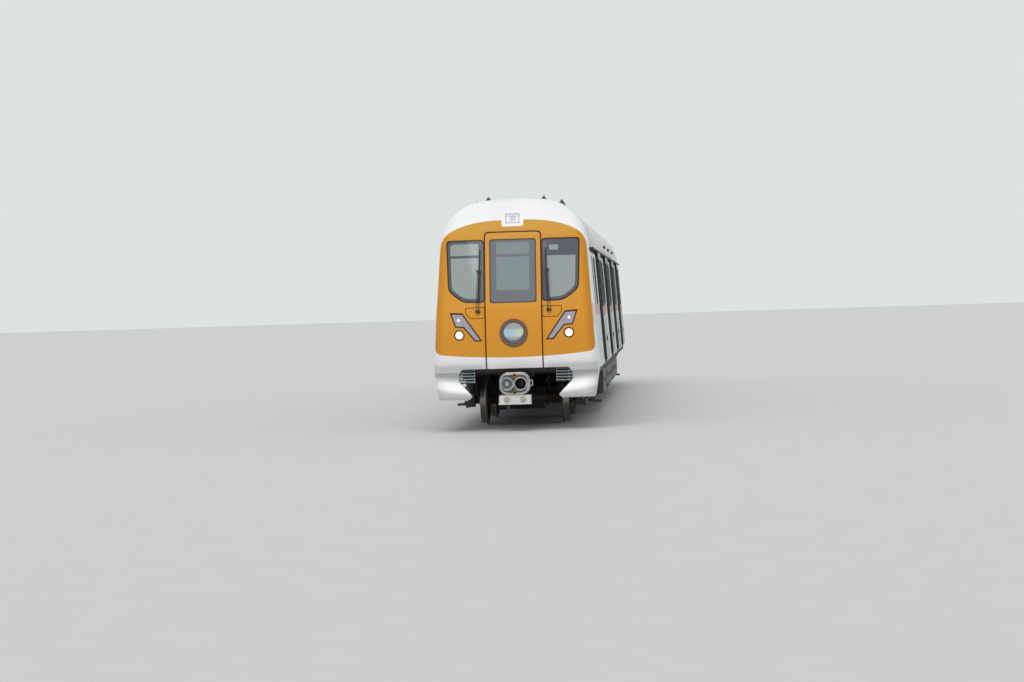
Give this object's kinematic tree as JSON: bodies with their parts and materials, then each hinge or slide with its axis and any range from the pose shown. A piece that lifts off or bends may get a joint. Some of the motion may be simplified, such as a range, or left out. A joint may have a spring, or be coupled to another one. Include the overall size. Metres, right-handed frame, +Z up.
{
  "type": "metro train driving car",
  "caption": "Driving car of a metro train: moulded cab front with a drop-down escape door, outside-hung sliding doors along both sides, two motor bogies and an automatic coupler.",
  "frame": {"origin": "centre of the car on the level of the wheel flange tips, 28 mm under the rail top", "axes": "front faces -Y; +X is to the right of a person facing the front; +Z up"},
  "size_m": [2.9522, 22.2, 4.158],
  "materials": {
    "stainless": "satin",
    "door_steel": "satin",
    "roof_paint": "satin",
    "front_moulding": "gloss",
    "skirt_paint": "gloss",
    "glass": "gloss",
    "tinted_glass": "gloss",
    "lamp_lens": "gloss",
    "lamp_body": "gloss",
    "sign_face": "gloss",
    "roundel": "gloss",
    "interior_panel": "matte",
    "desk": "matte",
    "seat_cloth": "matte",
    "bench_steel": "satin",
    "rail_steel": "polished",
    "black_rubber": "matte",
    "dark_paint": "satin",
    "bogie_paint": "satin",
    "wheel_steel": "satin",
    "coupler_steel": "satin",
    "case_grey": "satin",
    "antenna_plastic": "matte"
  },
  "bodies": {
    "car_body": {"underframe": "dark_paint", "side_wall_left": "stainless", "side_wall_right": "stainless", "roof_shell": "roof_paint", "rear_end_wall": "stainless", "cab_mask": "front_moulding", "cab_skirt": "skirt_paint", "windscreens": "glass", "saloon_windows": "tinted_glass", "cab_bulkhead": "interior_panel", "driver_desk": "desk", "driver_seat": "seat_cloth", "bench_seats": "bench_steel", "grab_rails": "rail_steel", "air_conditioners": "roof_paint", "roof_antennas": "antenna_plastic", "destination_display": "sign_face", "headlamp_units": "lamp_body", "headlamp_lenses": "lamp_lens", "front_louvres": "skirt_paint", "wipers": "black_rubber", "gangway_bellows": "black_rubber", "gangway_frame": "dark_paint", "equipment_cases": "case_grey", "air_reservoirs": "dark_paint", "air_compressor": "case_grey", "air_springs": "black_rubber"},
    "escape_door": {"evac_door": "front_moulding", "evac_door_glass": "glass", "evac_door_roundel": "roundel"},
    "front_coupler": {"coupler_head": "coupler_steel", "electric_head": "skirt_paint"},
    "rear_coupler": {"rear_drawbar": "coupler_steel"},
    "front_bogie": {"bogie_frame_front": "bogie_paint", "axle_boxes_front": "bogie_paint", "drives_front": "case_grey"},
    "rear_bogie": {"bogie_frame_rear": "bogie_paint", "axle_boxes_rear": "bogie_paint", "drives_rear": "case_grey"},
    "wheelset_1": {"wheelset_1": "wheel_steel"},
    "wheelset_2": {"wheelset_2": "wheel_steel"},
    "wheelset_3": {"wheelset_3": "wheel_steel"},
    "wheelset_4": {"wheelset_4": "wheel_steel"},
    "door_left_1_front": {"door_left_1_front": "door_steel"},
    "door_left_1_rear": {"door_left_1_rear": "door_steel"},
    "door_left_2_front": {"door_left_2_front": "door_steel"},
    "door_left_2_rear": {"door_left_2_rear": "door_steel"},
    "door_left_3_front": {"door_left_3_front": "door_steel"},
    "door_left_3_rear": {"door_left_3_rear": "door_steel"},
    "door_left_4_front": {"door_left_4_front": "door_steel"},
    "door_left_4_rear": {"door_left_4_rear": "door_steel"},
    "door_right_1_front": {"door_right_1_front": "door_steel"},
    "door_right_1_rear": {"door_right_1_rear": "door_steel"},
    "door_right_2_front": {"door_right_2_front": "door_steel"},
    "door_right_2_rear": {"door_right_2_rear": "door_steel"},
    "door_right_3_front": {"door_right_3_front": "door_steel"},
    "door_right_3_rear": {"door_right_3_rear": "door_steel"},
    "door_right_4_front": {"door_right_4_front": "door_steel"},
    "door_right_4_rear": {"door_right_4_rear": "door_steel"}
  },
  "joints": [
    {"name": "front_bogie_yaw", "type": "hinge", "parent": "car_body", "child": "front_bogie", "pos_m": [0, -7.15, 0.7], "axis": [0, 0, 1], "range_deg": [-4.5, 4.5]},
    {"name": "rear_bogie_yaw", "type": "hinge", "parent": "car_body", "child": "rear_bogie", "pos_m": [0, 7.55, 0.7], "axis": [0, 0, 1], "range_deg": [-4.5, 4.5]},
    {"name": "wheelset_1_turn", "type": "hinge", "parent": "front_bogie", "child": "wheelset_1", "pos_m": [0, -8.25, 0.458], "axis": [1, 0, 0], "continuous": true},
    {"name": "wheelset_2_turn", "type": "hinge", "parent": "front_bogie", "child": "wheelset_2", "pos_m": [0, -6.05, 0.458], "axis": [1, 0, 0], "continuous": true},
    {"name": "wheelset_3_turn", "type": "hinge", "parent": "rear_bogie", "child": "wheelset_3", "pos_m": [0, 6.45, 0.458], "axis": [1, 0, 0], "continuous": true},
    {"name": "wheelset_4_turn", "type": "hinge", "parent": "rear_bogie", "child": "wheelset_4", "pos_m": [0, 8.65, 0.458], "axis": [1, 0, 0], "continuous": true},
    {"name": "escape_door_drop", "type": "hinge", "parent": "car_body", "child": "escape_door", "pos_m": [0, -10.788, 1.116], "axis": [1, 0, 0], "range_deg": [0, 88]},
    {"name": "front_coupler_swing", "type": "hinge", "parent": "car_body", "child": "front_coupler", "pos_m": [0, -9.9, 0.828], "axis": [0, 0, 1], "range_deg": [-12, 12]},
    {"name": "rear_coupler_swing", "type": "hinge", "parent": "car_body", "child": "rear_coupler", "pos_m": [0, 10.05, 0.828], "axis": [0, 0, 1], "range_deg": [-12, 12]},
    {"name": "door_left_1_front_slide", "type": "slide", "parent": "car_body", "child": "door_left_1_front", "axis": [0, -1, 0], "range_m": [0, 0.7]},
    {"name": "door_left_1_rear_slide", "type": "slide", "parent": "car_body", "child": "door_left_1_rear", "axis": [0, 1, 0], "range_m": [0, 0.7]},
    {"name": "door_left_2_front_slide", "type": "slide", "parent": "car_body", "child": "door_left_2_front", "axis": [0, -1, 0], "range_m": [0, 0.7]},
    {"name": "door_left_2_rear_slide", "type": "slide", "parent": "car_body", "child": "door_left_2_rear", "axis": [0, 1, 0], "range_m": [0, 0.7]},
    {"name": "door_left_3_front_slide", "type": "slide", "parent": "car_body", "child": "door_left_3_front", "axis": [0, -1, 0], "range_m": [0, 0.7]},
    {"name": "door_left_3_rear_slide", "type": "slide", "parent": "car_body", "child": "door_left_3_rear", "axis": [0, 1, 0], "range_m": [0, 0.7]},
    {"name": "door_left_4_front_slide", "type": "slide", "parent": "car_body", "child": "door_left_4_front", "axis": [0, -1, 0], "range_m": [0, 0.7]},
    {"name": "door_left_4_rear_slide", "type": "slide", "parent": "car_body", "child": "door_left_4_rear", "axis": [0, 1, 0], "range_m": [0, 0.7]},
    {"name": "door_right_1_front_slide", "type": "slide", "parent": "car_body", "child": "door_right_1_front", "axis": [0, -1, 0], "range_m": [0, 0.7]},
    {"name": "door_right_1_rear_slide", "type": "slide", "parent": "car_body", "child": "door_right_1_rear", "axis": [0, 1, 0], "range_m": [0, 0.7]},
    {"name": "door_right_2_front_slide", "type": "slide", "parent": "car_body", "child": "door_right_2_front", "axis": [0, -1, 0], "range_m": [0, 0.7]},
    {"name": "door_right_2_rear_slide", "type": "slide", "parent": "car_body", "child": "door_right_2_rear", "axis": [0, 1, 0], "range_m": [0, 0.7]},
    {"name": "door_right_3_front_slide", "type": "slide", "parent": "car_body", "child": "door_right_3_front", "axis": [0, -1, 0], "range_m": [0, 0.7]},
    {"name": "door_right_3_rear_slide", "type": "slide", "parent": "car_body", "child": "door_right_3_rear", "axis": [0, 1, 0], "range_m": [0, 0.7]},
    {"name": "door_right_4_front_slide", "type": "slide", "parent": "car_body", "child": "door_right_4_front", "axis": [0, -1, 0], "range_m": [0, 0.7]},
    {"name": "door_right_4_rear_slide", "type": "slide", "parent": "car_body", "child": "door_right_4_rear", "axis": [0, 1, 0], "range_m": [0, 0.7]}
  ],
  "couplings": [
    {"joint": "door_left_1_rear_slide", "follows": "door_left_1_front_slide", "ratio": 1},
    {"joint": "door_left_2_rear_slide", "follows": "door_left_2_front_slide", "ratio": 1},
    {"joint": "door_left_3_rear_slide", "follows": "door_left_3_front_slide", "ratio": 1},
    {"joint": "door_left_4_rear_slide", "follows": "door_left_4_front_slide", "ratio": 1},
    {"joint": "door_right_1_rear_slide", "follows": "door_right_1_front_slide", "ratio": 1},
    {"joint": "door_right_2_rear_slide", "follows": "door_right_2_front_slide", "ratio": 1},
    {"joint": "door_right_3_rear_slide", "follows": "door_right_3_front_slide", "ratio": 1},
    {"joint": "door_right_4_rear_slide", "follows": "door_right_4_front_slide", "ratio": 1}
  ]
}
